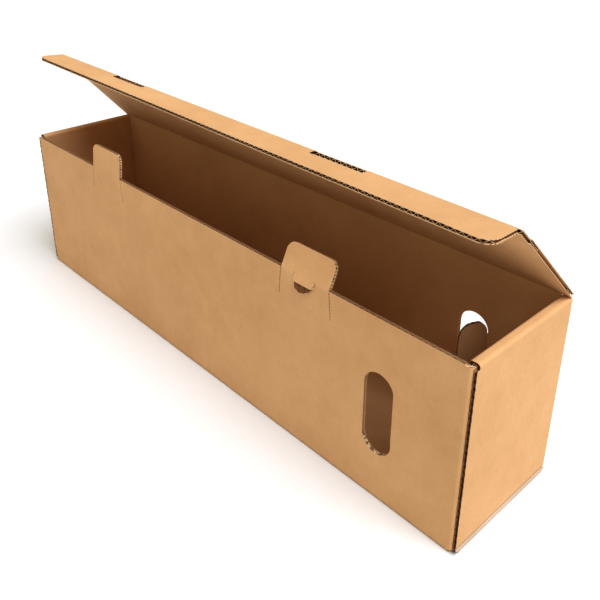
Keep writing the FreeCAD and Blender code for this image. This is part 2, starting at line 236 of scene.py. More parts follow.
@dataclass
class FoldPath:
    """A line of straight runs and round folds, seen edge-on, that the board follows.

    Attributes:
        start: first point of the line.
        heading: first direction in degrees.
        legs: (length, turn in degrees) of each leg; a run has no turn.
        outward: 1 if the outer face is on the left of the line, -1 if on the right.
    """

    start: tuple[float, float]
    heading: float
    legs: tuple[tuple[float, float], ...]
    outward: float = -1.0

    def __post_init__(self) -> None:
        """Work out where each leg starts."""
        lengths = np.array([leg[0] for leg in self.legs])
        turns = np.radians([leg[1] for leg in self.legs])
        self.ends = np.concatenate([[0.0], np.cumsum(lengths)])
        self.bend = turns / lengths
        self.angles = math.radians(self.heading) + np.concatenate([[0.0], np.cumsum(turns)])[:-1]
        points = [np.array(self.start, float)]
        for length, bend, angle in zip(lengths, self.bend, self.angles):
            points.append(points[-1] + self._step(np.array(length), np.array(bend), np.array(angle)))
        self.points = np.array(points[:-1])

    @property
    def length(self) -> float:
        """Length of the whole line."""
        return float(self.ends[-1])

    def _step(self, run: np.ndarray, bend: np.ndarray, angle: np.ndarray) -> np.ndarray:
        """Way covered after a run: the chord of the arc, 2 sin(half turn) / bend, or the run itself."""
        half = 0.5 * bend * run
        chord = run * np.sinc(half / np.pi)
        return np.stack([chord * np.cos(angle + half), chord * np.sin(angle + half)], axis=-1)

    def at(self, way: np.ndarray) -> tuple[np.ndarray, np.ndarray]:
        """Points and outward normals at distances along the line.

        Args:
            way: distances from the start.

        Returns:
            Points and unit normals, one row each.
        """
        leg = np.clip(np.searchsorted(self.ends, way, side="right") - 1, 0, len(self.bend) - 1)
        run = way - self.ends[leg]
        points = self.points[leg] + self._step(run, self.bend[leg], self.angles[leg])
        angle = self.angles[leg] + self.bend[leg] * run
        normals = self.outward * np.stack([-np.sin(angle), np.cos(angle)], axis=-1)
        return points, normals

    def stations(self, run: float = 45.0, turn: float = 9.0) -> np.ndarray:
        """Distances that divide runs every so many millimetres and folds every so many degrees."""
        found = [self.ends]
        for index, (length, angle) in enumerate(self.legs):
            parts = max(1, math.ceil(abs(angle) / turn) if angle else math.ceil(length / run))
            found.append(self.ends[index] + np.linspace(0.0, length, parts + 1))
        return np.unique(np.round(np.concatenate(found), 4))


@dataclass
class Gap:
    """A hole in an outline: it spans from bottom to top in each column that it crosses."""

    split: float
    bottom: Shape
    top: Shape


@dataclass
class Outline:
    """A flat piece of board, told column by column across its flutes.

    Each column reaches along the flutes from low to high. At a jump there are two columns, so
    that the edge has a straight step there.

    Attributes:
        stations: places of the columns, across the flutes.
        jumps: places where the outline steps.
        low: lower end of a column, as a function of its place.
        high: upper end of a column, as a function of its place.
        rows: places of the rows, along the flutes.
        gaps: holes.
    """

    stations: np.ndarray
    low: Shape
    high: Shape
    rows: np.ndarray
    jumps: tuple[float, ...] = ()
    gaps: tuple[Gap, ...] = ()

    def __post_init__(self) -> None:
        """Place the columns, with a pair of them at each jump."""
        jumps = np.round(np.array(self.jumps, float), 4)
        plain = np.setdiff1d(np.round(self.stations, 4), jumps)
        plain = plain[(plain >= self.stations.min() - 1e-6) & (plain <= self.stations.max() + 1e-6)]
        across = np.concatenate([plain, jumps, jumps])
        probe = np.concatenate([plain, jumps - 2e-4, jumps + 2e-4])
        order = np.argsort(probe)
        self.across, self.probe = across[order], probe[order]
        self.floor = self.low(self.probe)
        self.roof = self.high(self.probe)
        self.holes = []
        for gap in self.gaps:
            bottom = np.clip(gap.bottom(self.probe), self.floor, self.roof)
            top = np.clip(gap.top(self.probe), self.floor, self.roof)
            self.holes.append((gap.split, bottom, top, top > bottom + 1e-6))

    def sheet(self) -> tuple[np.ndarray, np.ndarray]:
        """The outline as one layer of triangles.

        It reaches no further than the first and last row. The rows are held between the ends of each
        column, and at a hole a pair of rows is drawn to its two sides; triangles with no area are left
        out and points are merged.

        Returns:
            Points (across, along) and triangles.
        """
        twins = np.flatnonzero(np.diff(self.across) < 1e-9)
        twins = np.unique(np.concatenate([twins, twins + 1])).astype(int)
        extra = [self.rows, self.floor[twins], self.roof[twins]]
        for _, bottom, top, inside in self.holes:
            extra += [bottom[twins][inside[twins]], top[twins][inside[twins]]]
        rows = np.unique(np.round(np.concatenate(extra), 4))
        splits = np.array([hole[0] for hole in self.holes])
        rows = np.sort(np.concatenate([np.setdiff1d(rows, splits), splits, splits]))
        along = np.clip(rows[None, :], self.floor[:, None], self.roof[:, None])
        keep = np.ones((len(self.across) - 1, len(rows) - 1), bool)
        for split, bottom, top, inside in self.holes:
            k = int(np.searchsorted(rows, split))
            below, above = bottom[inside, None], top[inside, None]
            along[inside, :k] = np.minimum(along[inside, :k], below)
            along[inside, k] = below[:, 0]
            along[inside, k + 1] = above[:, 0]
            along[inside, k + 2:] = np.maximum(along[inside, k + 2:], above)
            keep[:, k] &= ~(inside[:-1] & inside[1:])
        flat = np.stack([np.repeat(self.across, len(rows)), along.ravel()], axis=1)
        corner = np.arange(len(flat)).reshape(along.shape)
        a, b, c, d = (corner[:-1, :-1], corner[1:, :-1], corner[1:, 1:], corner[:-1, 1:])
        triangles = np.concatenate([
            np.stack([a, b, c], axis=-1)[keep], np.stack([a, c, d], axis=-1)[keep],
        ])
        _, first, merged = np.unique(np.round(flat, 3), axis=0, return_index=True, return_inverse=True)
        flat, triangles = flat[first], merged.reshape(-1)[triangles]
        one = flat[triangles[:, 1]] - flat[triangles[:, 0]]
        two = flat[triangles[:, 2]] - flat[triangles[:, 0]]
        area = one[:, 0] * two[:, 1] - one[:, 1] * two[:, 0]
        triangles = triangles[area > 1e-5]
        used, triangles = np.unique(triangles, return_inverse=True)
        return flat[used], triangles.reshape(-1, 3)

    def fringes(self, depth: float) -> list[tuple[np.ndarray, np.ndarray, np.ndarray, np.ndarray]]:
        """Strips of fluting behind every edge that is cut across the flutes.

        Args:
            depth: how far a strip reaches into the board.

        Returns:
            (across, from, to, whether the strip is there) of each strip.
        """
        first, last = self.across[0] + 0.3, self.across[-1] - 0.3
        across = np.arange(first, last, PITCH / 12)
        floor = np.interp(across, self.across, self.floor) + 0.08
        roof = np.interp(across, self.across, self.roof) - 0.08
        whole = np.ones(len(across), bool)
        strips = [
            (across, np.maximum(roof - depth, floor), roof, whole),
            (across, floor, np.minimum(floor + depth, roof), whole),
        ]
        for _, bottom, top, inside in self.holes:
            there = np.interp(across, self.across, inside.astype(float)) > 0.99
            lower = np.interp(across, self.across, bottom) - 0.08
            upper = np.interp(across, self.across, top) + 0.08
            there &= upper - lower > 15.0
            strips += [(across, lower - depth, lower, there), (across, upper, upper + depth, there)]
        return strips


def walled(triangles: np.ndarray, count: int) -> tuple[np.ndarray, np.ndarray]:
    """Close two copies of a sheet with walls along the edges that only one triangle uses.

    Args:
        triangles: triangles of the upper copy; the lower copy's points are count higher.
        count: points in one copy.

    Returns:
        Triangles of the closed slab and a mask of those that are walls.
    """
    edges = np.concatenate([triangles[:, [0, 1]], triangles[:, [1, 2]], triangles[:, [2, 0]]])
    code = edges[:, 0] * count + edges[:, 1]
    back = edges[:, 1] * count + edges[:, 0]
    a, b = edges[~np.isin(code, back)].T
    walls = np.concatenate([
        np.stack([a, a + count, b + count], axis=1), np.stack([a, b + count, b], axis=1),
    ])
    under = triangles[:, ::-1] + count
    faces = np.concatenate([triangles, under, walls])
    mask = np.zeros(len(faces), bool)
    mask[2 * len(triangles):] = True
    return faces, mask


@dataclass
class BoardMaker:
    """Gathers the layers of one piece of board and makes its mesh.

    Attributes:
        materials: materials for liner, cut edge, fluting (also used as painted shade in a groove) and a pale
            tone painted for shade with reflected floor light, in that order.
        thick: thickness of the board.
        web: thickness of the fluting.
        rim: what its cut edges look like.
        painted_light: which faces of a liner get painted light (painted shade in a groove, a painted
            reflection on a bulge), told by their places on the sheet.
    """

    materials: list[bpy.types.Material]
    thick: float = BOARD
    web: float = WEB
    rim: Face = Face.CUT
    painted_light: Callable[[np.ndarray], np.ndarray] | None = None
    points: list[np.ndarray] = field(default_factory=list)
    sheets: list[np.ndarray] = field(default_factory=list)
    faces: list[np.ndarray] = field(default_factory=list)
    kinds: list[np.ndarray] = field(default_factory=list)
    count: int = 0

    def _slab(self, flat: np.ndarray, triangles: np.ndarray, top: np.ndarray, bottom: np.ndarray,
              kind: Face, rim: Face) -> None:
        """Add a closed slab between two copies of a sheet."""
        faces, walls = walled(triangles, len(flat))
        self.points += [top, bottom]
        self.sheets += [flat, flat]
        self.faces.append(faces + self.count)
        kinds = np.where(walls, rim.value, kind.value)
        # Faces that this map picks take painted shade or a painted reflection in place of the liner.
        if self.painted_light and kind is Face.LINER:
            middle = np.concatenate([flat, flat])[faces].mean(axis=1)
            painted_kinds = self.painted_light(middle)
            kinds = np.where(~walls & (painted_kinds >= 0), painted_kinds, kinds)
        self.kinds.append(kinds)
        self.count += 2 * len(flat)

    def add(self, outline: Outline, place: Place, depth: float = 16.0, inner_only: bool = False) -> None:
        """Add both liners of a piece and the fluting behind its cut edges.

        The fluting follows a cosine of the place across the flutes, between the liners.

        Args:
            outline: shape of the flat piece.
            place: function from (across, along, height over the middle layer) to points.
            depth: how far the fluting is modelled behind a cut edge; 0 for none.
            inner_only: leave out the outer liner, as where the sheet is cut half through.
        """
        flat, triangles = outline.sheet()
        half = self.thick / 2
        layers = [(half, half - LINER), (LINER - half, -half)]
        for outer, inner in layers[1:] if inner_only else layers:
            ones = np.ones(len(flat))
            top = place(flat[:, 0], flat[:, 1], outer * ones)
            bottom = place(flat[:, 0], flat[:, 1], inner * ones)
            self._slab(flat, triangles, top, bottom, Face.LINER, self.rim)
        if depth <= 0:
            return
        reach = half - LINER - self.web / 2
        for across, start, end, there in outline.fringes(depth):
            wave = reach * np.cos(2 * np.pi * across / PITCH)
            column = np.arange(len(across) - 1)
            steady = (np.abs(np.diff(end)) < 1.6) & (np.abs(np.diff(start)) < 1.6)
            steady &= ((end - start)[1:] > 0.5) & there[1:] & there[:-1]
            if not steady.any():
                continue
            column = column[steady]
            size = len(across)
            triangles = np.concatenate([
                np.stack([column, column + 1, column + 1 + size], axis=1),
                np.stack([column, column + 1 + size, column + size], axis=1),
            ])
            used, triangles = np.unique(triangles, return_inverse=True)
            triangles = triangles.reshape(-1, 3)
            flat = np.stack([np.tile(across, 2), np.concatenate([start, end])], axis=1)[used]
            wave = np.tile(wave, 2)[used]
            top = place(flat[:, 0], flat[:, 1], wave + self.web / 2)
            bottom = place(flat[:, 0], flat[:, 1], wave - self.web / 2)
            self._slab(flat, triangles, top, bottom, Face.FLUTING_AND_SHADE, self.rim)

    def finish(self, name: str) -> bpy.types.Object:
        """Make the object, smooth over its round folds and sharp at its cuts.

        Args:
            name: name of the piece.

        Returns:
            The object, at the origin, in metres.
        """
        points = np.concatenate(self.points) * MM
        faces = np.concatenate(self.faces)
        sheets = np.concatenate(self.sheets) * MM
        mesh = bpy.data.meshes.new(name)
        mesh.vertices.add(len(points))
        mesh.vertices.foreach_set("co", points.ravel())
        mesh.loops.add(faces.size)
        mesh.loops.foreach_set("vertex_index", faces.ravel().astype(np.int32))
        mesh.polygons.add(len(faces))
        mesh.polygons.foreach_set("loop_start", np.arange(0, faces.size, 3, dtype=np.int32))
        mesh.polygons.foreach_set("material_index", np.concatenate(self.kinds).astype(np.int32))
        mesh.update(calc_edges=True)
        layer = mesh.uv_layers.new(name="board")
        layer.data.foreach_set("uv", sheets[faces.ravel()].ravel())
        mesh.validate()
        for material in self.materials:
            mesh.materials.append(material)
        shell = bmesh.new()
        shell.from_mesh(mesh)
        bmesh.ops.recalc_face_normals(shell, faces=shell.faces)
        shell.to_mesh(mesh)
        shell.free()
        mesh.polygons.foreach_set("use_smooth", np.ones(len(mesh.polygons), bool))
        mesh.set_sharp_from_angle(angle=math.radians(32))
        piece = bpy.data.objects.new(name, mesh)
        bpy.context.scene.collection.objects.link(piece)
        LOG.info("%s: %d triangles", name, len(mesh.polygons))
        return piece


def level(value: float) -> Shape:
    """A function that has one value everywhere."""
    return lambda across: np.full(len(across), value, float)


def along_box(path: FoldPath, start: float = 0.0, centre: float = 0.0) -> Place:
    """Placing on a fold path that is seen from the end of the box.

    Args:
        path: the fold path, across and up.
        start: way along the path at which the flutes are counted as 0.
        centre: place along the box from which the columns are counted.

    Returns:
        The function from (across, along, height over the middle layer) to points.
    """

    def place(across: np.ndarray, along: np.ndarray, height: np.ndarray) -> np.ndarray:
        """Point: the path at the way along it, plus the height over it."""
        points, normals = path.at(along + start)
        spot = points + height[:, None] * normals
        return np.stack([across + centre, spot[:, 0], spot[:, 1]], axis=1)

    return place


@dataclass
class LongWall:
    """The front or back wall with its two corner flaps, folded from one strip.

    Attributes:
        side: front or back.
        materials: board materials.
        thick: thickness of the board away from its bottom fold.
        web: thickness of its crushed fluting.
        face: outer face from the middle plane of the box.
        fold_x: middle layer of the corner flaps.
        top: top edge of the wall.
        corner_top: top edge where the strip of an end wall passes over it.
        step_x: where the top edge steps down.
        reach: length of a corner flap.
        bottom: lower end of the wall, where the bottom fold starts.
        tab_x: tab centres.
        notch: half width of the notch for a tab.
        crease: bottom of that notch.
        tab_axis: fold line of the tabs, from which the half-moon hole is cut.
        moon: radius of that hole.
        hole_x: centre of the hand hole.
        hole_round: its round ends.
        hole_low: centre of its lower end.
        hole_high: centre of its upper end.
        slit_depth: how far the slits beside the tabs reach down.
        slit_width: their width along the wall's height.
        slit_slope: how far they run outwards for each millimetre down.
        slit_inset: how far inside the notch they are counted from.
        slit_start: where they begin from there.
    """

    side: Side
    materials: list[bpy.types.Material]
    thick: float = 3.4
    web: float = 1.5
    face: float = 67.0
    fold_x: float = 330.4
    top: float = 180.0
    corner_top: float = 178.8
    step_x: float = 325.4
    reach: float = 58.0
    bottom: float = 3.0
    tab_x: float = 163.0
    notch: float = 29.6
    crease: float = 176.8
    tab_axis: float = 178.6
    moon: float = 10.2
    hole_x: float = 250.0
    hole_round: float = 15.5
    hole_low: float = 64.0
    hole_high: float = 114.0
    slit_depth: float = 27.9
    slit_width: float = 0.7
    slit_slope: float = 0.0875
    slit_inset: float = 0.6
    slit_start: float = 0.25

    def build(self) -> bpy.types.Object:
        """Make the wall and lay it on the tray.

        Returns:
            The finished piece.
        """
        mid = self.face - BOARD / 2
        quarter = math.pi / 2 * FOLD
        run = 2 * (self.fold_x - FOLD)
        flap = self.reach - FOLD
        legs = ((flap, 0.0), (quarter, 90.0), (run, 0.0), (quarter, 90.0), (flap, 0.0))
        self.path = FoldPath((-self.fold_x, -mid + self.reach), -90.0, legs)
        self.half = self.path.length / 2
        maker = BoardMaker(self.materials, self.thick, web=self.web)
        maker.add(self._outline(), self._place)
        piece = maker.finish(f"{self.side.name.lower()}_wall")
        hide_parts("tray")
        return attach(piece, "tray")

    def _place(self, across: np.ndarray, along: np.ndarray, height: np.ndarray) -> np.ndarray:
        """Point on the wall: the fold path seen from above, raised by the way along the flutes."""
        points, normals = self.path.at(across + self.half)
        crushed = BOARD / self.thick + (1 - BOARD / self.thick) * np.clip((along - self.bottom) / 10, 0, 1)
        spot = points + (height * crushed)[:, None] * normals
        y = spot[:, 1] if self.side is Side.FRONT else -spot[:, 1]
        return np.stack([spot[:, 0], y, along], axis=1)

    def _high(self, across: np.ndarray) -> np.ndarray:
        """Top edge: level, with a step near the ends, tab notches and the half-moon."""
        top = np.where(np.abs(across) < self.step_x, self.top, self.corner_top)
        if self.side is Side.BACK:
            return top
        aside = np.minimum(np.abs(across - self.tab_x), np.abs(across + self.tab_x))
        top = np.where(aside < self.notch, self.crease, top)
        off = across - self.tab_x
        sunk = self.tab_axis - np.sqrt(np.maximum(self.moon**2 - off**2, 0.0))
        return np.where(np.abs(off) < self.moon, np.minimum(top, sunk), top)

    def _low(self, across: np.ndarray) -> np.ndarray:
        """Bottom edge: at the bottom fold, and clear of the base on the corner flaps."""
        return np.where(np.abs(across) < self.fold_x - FOLD, self.bottom, self.bottom + 0.2)

    def _slit(self, across: np.ndarray, shift: float) -> np.ndarray:
        """Height of one side of the slits: each runs down and outwards from a tab's edge."""
        aside = np.minimum(np.abs(across - self.tab_x), np.abs(across + self.tab_x))
        out = aside - (self.notch - self.slit_inset) - shift
        height = self.top - out / self.slit_slope
        return np.clip(height, self.top - self.slit_depth, None)

    def _hole(self, across: np.ndarray, end: float, sign: float) -> np.ndarray:
        """Round end of the hand hole: end plus or minus the root of r squared less x squared."""
        off = across - self.hole_x
        bow = np.sqrt(np.maximum(self.hole_round**2 - off**2, 0.0))
        return np.where(np.abs(off) < self.hole_round, end + sign * bow, 0.0)

    def _outline(self) -> Outline:
        """Flat shape of the wall and its flaps."""
        fan = np.sin(np.radians(np.linspace(-90, 90, 25)))
        stations = [self.path.stations(30.0) - self.half, self.hole_x + self.hole_round * fan]
        jumps = [-self.step_x, self.step_x, self.hole_x - self.hole_round, self.hole_x + self.hole_round]
        jumps += [-(self.fold_x - FOLD), self.fold_x - FOLD]

        def bottom(across: np.ndarray) -> np.ndarray:
            """Lower side of the hole or slit that a column crosses."""
            hole = self._hole(across, self.hole_low, -1.0)
            if self.side is Side.BACK:
                return hole
            return np.where(hole > 0, hole, self._cut(across, 0.0))

        def top(across: np.ndarray) -> np.ndarray:
            """Upper side of the hole or slit that a column crosses."""
            hole = self._hole(across, self.hole_high, 1.0)
            if self.side is Side.BACK:
                return hole
            return np.where(hole > 0, hole, self._cut(across, self.slit_width))

        if self.side is Side.FRONT:
            stations.append(self.tab_x + self.moon * fan)
            for middle in (-self.tab_x, self.tab_x):
                for hand in (-1.0, 1.0):
                    jumps.append(middle + hand * self.notch)
                    start = self.notch - self.slit_inset
                    stations.append(middle + hand * (start + np.linspace(self.slit_start, 3.2, 12)))
            jumps += [self.tab_x - self.moon, self.tab_x + self.moon]
        rows = np.array([3.0, 20.0, 40.0, 60.0, 76.0, 100.0, 120.0, 140.0, 152.1, 165.0, self.top])
        gaps = (Gap(89.0, bottom, top),)
        return Outline(np.concatenate(stations), self._low, self._high, rows, tuple(jumps), gaps)

    def _cut(self, across: np.ndarray, shift: float) -> np.ndarray:
        """Slit side within the slits, and nothing elsewhere."""
        aside = np.minimum(np.abs(across - self.tab_x), np.abs(across + self.tab_x))
        aside = aside - self.notch + self.slit_inset
        reach = self.slit_depth * self.slit_slope + self.slit_width
        near = (aside > self.slit_start) & (aside < reach)
        return np.where(near, self._slit(across, shift), 0.0)


@dataclass
class Base:
    """The base with the two bottom folds that join it to the long walls.

    Attributes:
        materials: board materials.
        half_width: middle layer of the long walls.
        half_length: where the folds of the end walls start.
        slots: inner and outer side of the tongue slots, from the middle of the box.
        tongue: near and far side of the slots, across the box.
    """

    materials: list[bpy.types.Material]
    half_width: float = 65.6
    half_length: float = 330.0
    slots: tuple[float, float] = (325.4, 329.0)
    tongue: tuple[float, float] = (21.6, 42.4)

    def build(self) -> bpy.types.Object:
        """Make the base and lay it on the tray."""
        quarter = math.pi / 2 * FOLD
        run = 2 * (self.half_width - FOLD)
        self.path = FoldPath((-self.half_width, 3.0), -90.0, ((quarter, 90.0), (run, 0.0), (quarter, 90.0)))
        middle = self.path.length / 2
        ways = self.path.stations(20.0) - middle

        def slot(value: float) -> Shape:
            """One side of a slot, where a column crosses it."""
            inside = lambda x: (np.abs(x) > self.slots[0]) & (np.abs(x) < self.slots[1])
            return lambda across: np.where(inside(across), value, 0.0)

        near, far = self.tongue
        gaps = (Gap(-32.0, slot(-far), slot(-near)), Gap(32.0, slot(near), slot(far)))
        stations = np.linspace(-self.half_length, self.half_length, 23)
        jumps = tuple(sign * x for sign in (-1, 1) for x in self.slots)
        outline = Outline(stations, level(-middle), level(middle), ways, jumps, gaps)
        maker = BoardMaker(self.materials)
        maker.add(outline, along_box(self.path, start=middle), depth=6.0)
        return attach(maker.finish("base"), "tray")


@dataclass
class EndWall:
    """An end of the box: outer panel, strip over the top and inner panel, with its tongues.

    Attributes:
        hand: 1 for the right end and -1 for the left end.
        materials: board materials.
        start: where the strip of board leaves the base.
        outer: middle layer of the outer panel.
        inner: middle layer of the inner panel.
        top: middle layer of the strip over the top.
        spans: half widths of foot, outer panel and inner panel.
        strip: how far the strip over the top reaches to front and back.
        foot: height at which the outer panel gets its full width.
        tongue: near and far side of the tongues, across the box.
        thick: thickness of the board.
        bulge: size, place and width of the bulge at the foot, by the way up the outer panel.
        groove: the same of the groove over it.
        rough: how rough the cut edge of the outer panel is.
    """

    hand: int
    materials: list[bpy.types.Material]
    start: float = 330.0
    outer: float = 333.6
    inner: float = 327.2
    top: float = 180.6
    spans: tuple[float, float, float] = (63.0, 65.9, 63.6)
    strip: tuple[float, float] = (62.6, 62.6)
    foot: float = 4.0
    tongue: tuple[float, float] = (22.0, 42.0)
    thick: float = 3.0
    bulge: tuple[float, float, float] = (0.8, 0.6, 1.9)
    groove: tuple[float, float, float] = (1.5, 3.8, 0.5)
    rough: float = 0.17

    def build(self) -> bpy.types.Object:
        """Make the end wall and lay it on the tray."""
        quarter = math.pi / 2 * FOLD
        sheet = BOARD / 2
        out = self.outer - FOLD - self.start
        rise = self.top - FOLD - (sheet + FOLD)
        over = self.outer - self.inner - 2 * FOLD
        fall = self.top - FOLD - 3.2
        legs = ((out, 0.0), (quarter, 90.0), (rise, 0.0), (quarter, 90.0), (over, 0.0), (quarter, 90.0),
                (fall, 0.0), (2.8, 0.0))
        self.path = FoldPath((self.start, sheet), 0.0, legs)
        ends = self.path.ends
        self.marks = (ends[2] + self.foot - sheet - FOLD, ends[3] - 1.0, ends[6] + 1.0, ends[7])
        rough = np.arange(ends[2] + 10.0, ends[3] - 2.0, 2.3)
        rise_rows = ends[2] + np.array([0.5, 1.0, 1.5, 1.9, 2.2, 2.4, 2.6, 2.8, 3.0, 3.3, 3.8, 4.6, 6.0, 9.0])
        stations = np.unique(np.round(np.concatenate([self.path.stations(25.0), rise_rows, rough]), 4))
        inner_gap = Gap(0.0, self._slot(-self.tongue[0]), self._slot(self.tongue[0]))
        rows = np.linspace(-self.spans[1], self.spans[1], 12)
        low: Shape = lambda across: -self._span(across, 0)
        high: Shape = lambda across: self._span(across, 1)
        outline = Outline(stations, low, high, rows, self.marks, (inner_gap,))
        # The end walls' liners get painted shade in the groove and a painted reflection on the foot bulge.
        maker = BoardMaker(self.materials, self.thick, rim=Face.FLUTING_AND_SHADE, painted_light=self._painted_light)
        maker.add(outline, self._place)
        name = "right_end_wall" if self.hand > 0 else "left_end_wall"
        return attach(maker.finish(name), "tray")

    def _span(self, across: np.ndarray, end: int) -> np.ndarray:
        """Reach of the strip of board to the front (0) or back (1) at a way along its path.

        The cut edge of the outer panel is rough: a sum of three sines.
        """
        foot, panel, inner = self.spans
        wave = np.sin(2.1 * across + end) + np.sin(3.7 * across + 1.0) + np.sin(0.9 * across + 2.0)
        limits = [across < m for m in self.marks]
        return np.select(limits, [foot, panel + self.rough * wave, self.strip[end], inner], self.tongue[1])

    def _painted_light(self, spots: np.ndarray) -> np.ndarray:
        """Painted light on the liners: a pale greyish tone on the bulge at the foot, painted for its shade
        and the floor light it reflects, and the dark fluting paper in the groove over it as painted shade; -1
        elsewhere.
        """
        rise = spots[:, 0] - self.path.ends[2]
        _, place, width = self.groove
        # Painted shade: faces in the narrow groove take the dark fluting paper.
        dark = np.abs(rise - place) < width
        # Painted reflection: faces on the bulge below take a pale greyish tone, the look of a shaded strip
        # lit by floor light.
        pale = (rise > -FOLD) & (rise < place - width)
        return np.select([dark, pale], [Face.FLUTING_AND_SHADE.value, Face.CREASE.value], -1)

    def _slot(self, value: float) -> Shape:
        """Side of the space between the two tongues."""
        return lambda across: np.where(across > self.marks[3], value, 0.0)

    def _place(self, across: np.ndarray, along: np.ndarray, height: np.ndarray) -> np.ndarray:
        """Point on the end wall: the fold path seen from the front, at its place across the box.

        The fold at the foot bulges by a bell curve, and a narrow groove lies just above it.
        """
        rise = across - self.path.ends[2]
        out, out_place, out_width = self.bulge
        dent, dent_place, dent_width = self.groove
        bulge = out * np.exp(-(((rise - out_place) / out_width) ** 2))
        bulge = bulge - dent * np.exp(-(((rise - dent_place) / dent_width) ** 2))
        points, normals = self.path.at(across)
        spot = points + (height + np.where(height > 0, bulge, 0.0))[:, None] * normals
        return np.stack([self.hand * spot[:, 0], along, spot[:, 1]], axis=1)


@dataclass
class Lid:
    """The lid, its hinge along the back wall and the folds of its tuck flap.

    Attributes:
        materials: board materials.
        thick: thickness of the board.
        axis: hinge line, across and up.
        angle: lid above the horizontal.
        depth: from the hinge line to the fold of the tuck flap.
        hold: board on each side of a fold line that belongs to the fold.
        half: half length.
        jog: how much narrower the front corners are, and for how long.
        hinge_half: half length of the hinge.
        twist: turn of the lid about its hinge at the two ends, in degrees.
        tuck_turn: tuck flap below the plane of the lid.
        tuck_half: half length of the tuck flap.
        tuck_depth: from its fold to its free edge.
        tuck_round: its free corners.
        slot_x: slot centres.
        slot_half: half length of a slot.
        slot_depth: depth of a slot.
        slot_round: inner corners of a slot.
    """

    materials: list[bpy.types.Material]
    thick: float = 3.8
    axis: tuple[float, float] = (65.6, 183.8)
    angle: float = 46.0
    depth: float = 128.0
    hold: float = 1.8
    half: float = 335.0
    jog: tuple[float, float] = (2.2, 14.0)
    hinge_half: float = 325.4
    twist: tuple[float, float] = (1.7, -2.5)
    tuck_turn: float = 43.0
    tuck_half: float = 330.5
    tuck_depth: float = 33.0
    tuck_round: float = 12.0
    slot_x: float = 163.0
    slot_half: float = 30.5
    slot_depth: float = 8.6
    slot_round: float = 3.0

    def build(self) -> list[bpy.types.Object]:
        """Make the lid, its tuck flap and the folds between them.

        Returns:
            The finished pieces.
        """
        pieces = [self._panel(), self._hinge(), self._flap()]
        inner = self.slot_x + self.slot_half
        outer = self.slot_x - self.slot_half
        half = self.tuck_half
        spans = (("left", -half, -inner), ("middle", -outer, outer), ("right", inner, half))
        pieces += [self._fold(name, start, end) for name, start, end in spans]
        return pieces

    def _ray(self, angle: float) -> np.ndarray:
        """Direction towards the front at an angle above the horizontal, across and up."""
        return np.array([-math.cos(math.radians(angle)), math.sin(math.radians(angle))])

    @property
    def tuck_axis(self) -> np.ndarray:
        """Fold line of the tuck flap, across and up."""
        return np.array(self.axis) + self.depth * self._ray(self.angle)

    def _droop(self, points: np.ndarray, share: np.ndarray | float = 1.0) -> np.ndarray:
        """Turn points about the hinge line by an angle that changes evenly along the lid."""
        left, right = self.twist
        part = (points[:, 0] + self.half) / (2 * self.half)
        turn = -np.radians(left + (right - left) * part) * share
        y, z = points[:, 1] - self.axis[0], points[:, 2] - self.axis[1]
        moved = points.copy()
        moved[:, 1] = self.axis[0] + y * np.cos(turn) - z * np.sin(turn)
        moved[:, 2] = self.axis[1] + y * np.sin(turn) + z * np.cos(turn)
        return moved

    def _flat_place(self, origin: np.ndarray, angle: float) -> Place:
        """Placing on a flat panel that leaves a fold line at an angle."""
        ray = self._ray(angle)
        normal = np.array([math.sin(math.radians(angle)), math.cos(math.radians(angle))])

        def place(across: np.ndarray, along: np.ndarray, height: np.ndarray) -> np.ndarray:
            """Point: fold line, plus the way along the panel, plus the height over it."""
            spot = origin + along[:, None] * ray + height[:, None] * normal
            return self._droop(np.stack([across, spot[:, 0], spot[:, 1]], axis=1))

        return place

    def _panel(self) -> bpy.types.Object:
        """The flat of the lid."""
        depth, hold = self.depth, self.hold
        inner = self.half - self.jog[0]

        def front(across: np.ndarray) -> np.ndarray:
            """Front edge: straight, further back where the corners are narrower."""
            return np.where(np.abs(across) < inner, depth - hold, depth - hold - self.jog[1])

        def back(across: np.ndarray) -> np.ndarray:
            """Rear edge: at the hinge fold, and over the end walls past its ends."""
            return np.where(np.abs(across) < self.hinge_half, hold, -0.6)

        stations = np.linspace(-self.half, self.half, 41)
        rows = np.linspace(hold, depth - hold, 9)
        jumps = (-inner, inner, -self.hinge_half, self.hinge_half)
        outline = Outline(stations, back, front, rows, jumps)
        maker = BoardMaker(self.materials, self.thick)
        maker.add(outline, self._flat_place(np.array(self.axis), self.angle))
        piece = maker.finish("lid_panel")
        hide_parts("lid")
        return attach(piece, "lid")

    def _bend(self, name: str, start: np.ndarray, heading: float, turn: float, half: float,
              columns: tuple[float, float], droop: bool) -> bpy.types.Object:
        """A rounded fold between two panels.

        The fold is an arc between two short runs, so that it meets both panels squarely.

        Args:
            name: name of the piece.
            start: where it leaves the first panel, across and up.
            heading: direction there in degrees.
            turn: turn of the fold in degrees.
            half: distance from the fold line to each panel.
            columns: where it starts and ends along the box.
            droop: whether it turns with the lid from its start, rather than growing to it.

        Returns:
            The finished piece.
        """
        curved = 0.86 * half
        radius = curved / math.tan(math.radians(abs(turn)) / 2)
        run = half - curved
        path = FoldPath((float(start[0]), float(start[1])), heading,
                        ((run, 0.0), (radius * math.radians(abs(turn)), turn), (run, 0.0)))

        straight = along_box(path)

        def place(across: np.ndarray, along: np.ndarray, height: np.ndarray) -> np.ndarray:
            """Point on the fold path, turned with the lid."""
            return self._droop(straight(across, along, height), 1.0 if droop else along / path.length)

        stations = np.linspace(*columns, 24)
        outline = Outline(stations, level(0.0), level(path.length), path.stations(2.0, 6.0))
        maker = BoardMaker(self.materials, self.thick)
        maker.add(outline, place, depth=0.0)
        piece = maker.finish(name)
        points, _ = path.at(np.array([0.0, path.length]))
        if not droop:
            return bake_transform(piece)
        left = np.array([[0.0, *points[0]], [0.0, *points[1]]])
        turned = self._droop(left)
        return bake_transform(piece)

